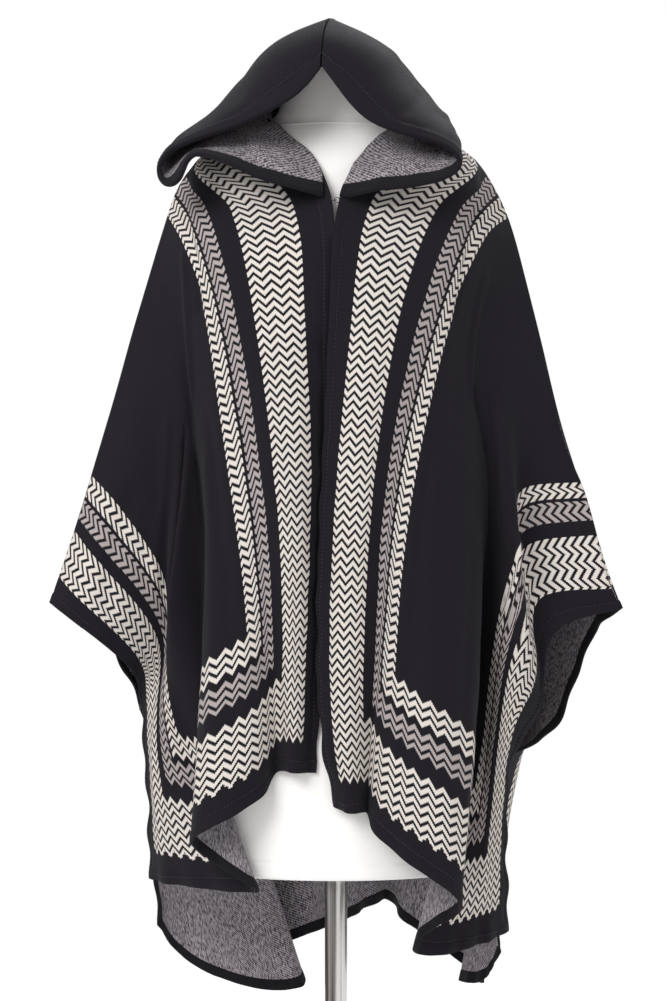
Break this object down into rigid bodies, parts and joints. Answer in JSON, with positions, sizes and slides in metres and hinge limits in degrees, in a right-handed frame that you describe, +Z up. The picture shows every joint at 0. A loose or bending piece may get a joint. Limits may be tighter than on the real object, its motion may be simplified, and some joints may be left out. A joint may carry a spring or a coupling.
{
  "type": "hooded knit kimono on a limbless dress form, its pole and base",
  "caption": "Open-front hooded knit wrap with hook closures, worn as it hangs by a limbless dress form on a pole and round base.",
  "frame": {"origin": "centre of the flat underside of the stand's base", "axes": "+Z up along the stand's pole, -Y towards the front of the garment, +X towards the wearer's left"},
  "size_m": [0.6284, 0.3712, 1.5092],
  "materials": {
    "knit": "black jacquard knit with off-white zigzag bands, heather grey reverse",
    "form_cover": "matte white jersey",
    "stand_steel": "brushed",
    "closure_wire": "black enamel"
  },
  "bodies": {
    "root": {"dress_form": "form_cover", "stand_pole": "stand_steel", "stand_base": "stand_steel", "front_right": "knit", "front_left": "knit", "back": "knit", "hood_right": "knit", "hood_left": "knit", "neck_hook": "closure_wire", "neck_eye": "closure_wire", "side_right_hook": "closure_wire", "side_right_eye": "closure_wire", "side_left_hook": "closure_wire", "side_left_eye": "closure_wire"}
  },
  "joints": []
}
